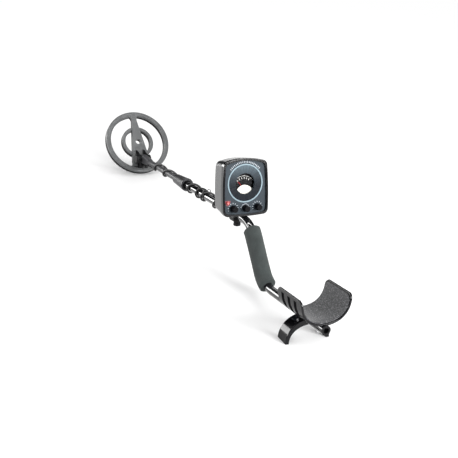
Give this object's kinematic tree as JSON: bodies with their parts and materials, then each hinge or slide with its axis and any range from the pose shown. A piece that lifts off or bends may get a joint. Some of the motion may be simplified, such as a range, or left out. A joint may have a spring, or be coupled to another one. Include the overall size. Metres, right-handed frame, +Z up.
{
  "type": "metal detector",
  "caption": "Hand-held metal detector: round concentric search coil on a telescoping rod, S-shaped handle with foam grip, analogue meter box and arm cuff with a floor stand.",
  "frame": {"origin": "middle of the footprint on the floor, under the middle of the overall box", "axes": "+Z up, +Y forward from the cuff to the coil, +X to the right of the user"},
  "size_m": [0.2, 1.1796, 0.2683],
  "materials": {
    "coil_grey": "light mid-grey moulded plastic, semi-matte",
    "coil_black": "black moulded plastic",
    "copper": "enamelled copper winding",
    "black_plastic": "black moulded plastic",
    "steel": "zinc-plated steel",
    "rubber": "black rubber",
    "cable": "black PVC cable jacket",
    "rod_grey": "dark grey plastic",
    "collar_grey": "dark grey plastic",
    "tube_black": "gloss black paint",
    "foam": "closed-cell foam, matte",
    "gloss_black": "gloss black",
    "lining": "speckled grey textured pad",
    "bezel_black": "gloss black bezel",
    "housing_black": "satin black housing",
    "panel_slate": "dark slate panel",
    "ring_pale": "pale blue-grey ring",
    "clear_lens": "clear lens",
    "dial_black": "matt black dial",
    "dial_white": "cream mask",
    "needle_red": "red needle",
    "lamp_red": "red lamp",
    "brass": "brass",
    "board_green": "green circuit board",
    "speaker_steel": "plain steel",
    "battery": "plain battery jacket",
    "knob_black": "black knob"
  },
  "bodies": {
    "handle": {"batteries": "battery", "battery_tray": "black_plastic", "box_bezel": "bezel_black", "box_clamp": "black_plastic", "box_housing": "housing_black", "cable_plug": "black_plastic", "cable_socket": "steel", "cable_tie": "rubber", "circuit_board": "board_green", "clamp_screws": "steel", "control_panel": "panel_slate", "cuff_lining": "lining", "cuff_nuts": "steel", "cuff_screws": "steel", "cuff_shell": "gloss_black", "dial_ring": "ring_pale", "foam_grip": "foam", "handle_tube": "tube_black", "headphone_jack": "steel", "housing_screws": "steel", "indicator_lamp": "lamp_red", "left_control": "speaker_steel", "lock_collet": "black_plastic", "meter_case": "black_plastic", "meter_face": "dial_black", "meter_lens": "clear_lens", "meter_mask": "dial_white", "meter_movement": "brass", "right_control": "speaker_steel", "speaker": "speaker_steel", "stand": "gloss_black", "stand_fasteners": "steel", "switch_control": "speaker_steel", "tube_cable": "cable", "tube_end_plug": "black_plastic"},
    "lower_rod": {"lower_rod": "rod_grey", "rod_cable": "cable"},
    "coil": {"coil_top_shell": "coil_grey", "coil_bottom_cover": "coil_black", "transmit_winding": "copper", "receive_winding": "copper", "clevis": "black_plastic", "clevis_screws": "steel", "pivot_bolt": "black_plastic", "friction_washers": "rubber", "cable_gland": "rubber", "coil_lead": "cable"},
    "pivot_knob": {"pivot_knob": "black_plastic"},
    "lock_collar": {"lock_collar": "collar_grey"},
    "left_knob": {"left_knob": "knob_black", "left_shaft": "steel"},
    "switch_knob": {"switch_knob": "knob_black", "switch_shaft": "steel"},
    "right_knob": {"right_knob": "knob_black", "right_shaft": "steel"},
    "needle": {"meter_needle": "needle_red"},
    "thumbscrew": {"thumbscrew": "black_plastic"},
    "battery_door": {"battery_door": "housing_black"},
    "plug_ring": {"plug_ring": "steel"}
  },
  "joints": [
    {"name": "rod_slide", "type": "slide", "parent": "handle", "child": "lower_rod", "axis": [0, 0.9931, -0.1171], "range_m": [-0.15, 0.08], "deforming": ["rod_cable"]},
    {"name": "coil_tilt", "type": "hinge", "parent": "lower_rod", "child": "coil", "pos_m": [0, 0.45628, 0.05095], "axis": [1, 0, 0], "range_deg": [-42, 60], "deforming": ["coil_lead"]},
    {"name": "pivot_knob_turn", "type": "hinge", "parent": "coil", "child": "pivot_knob", "pos_m": [0, 0.45628, 0.05095], "axis": [1, 0, 0], "range_deg": [-360, 0]},
    {"name": "lock_collar_turn", "type": "hinge", "parent": "handle", "child": "lock_collar", "pos_m": [0, 0.15834, 0.08609], "axis": [0, 0.9931, -0.1171], "range_deg": [-20, 90]},
    {"name": "left_knob_turn", "type": "hinge", "parent": "handle", "child": "left_knob", "pos_m": [-0.03, -0.22316, 0.15874], "axis": [0, -0.9777, 0.2101], "range_deg": [-110, 190]},
    {"name": "switch_knob_turn", "type": "hinge", "parent": "handle", "child": "switch_knob", "pos_m": [0, -0.22337, 0.15776], "axis": [0, -0.9777, 0.2101], "range_deg": [-45, 45]},
    {"name": "right_knob_turn", "type": "hinge", "parent": "handle", "child": "right_knob", "pos_m": [0.03, -0.22316, 0.15874], "axis": [0, -0.9777, 0.2101], "range_deg": [-185, 115]},
    {"name": "needle_swing", "type": "hinge", "parent": "handle", "child": "needle", "pos_m": [0, -0.21424, 0.20029], "axis": [0, -0.9777, 0.2101], "range_deg": [-115, 0], "stiffness_Nm_per_rad": 0.00002},
    {"name": "thumbscrew_turn", "type": "hinge", "parent": "handle", "child": "thumbscrew", "pos_m": [0, -0.19176, 0.10724], "axis": [0, 0.1171, 0.9931], "range_deg": [-360, 360]},
    {"name": "battery_door_pull", "type": "slide", "parent": "handle", "child": "battery_door", "axis": [0, 0.9777, -0.2101], "range_m": [0, 0.012]},
    {"name": "plug_ring_turn", "type": "hinge", "parent": "handle", "child": "plug_ring", "pos_m": [-0.014, -0.15159, 0.19195], "axis": [0, 0.9777, -0.2101], "range_deg": [-360, 0]}
  ]
}
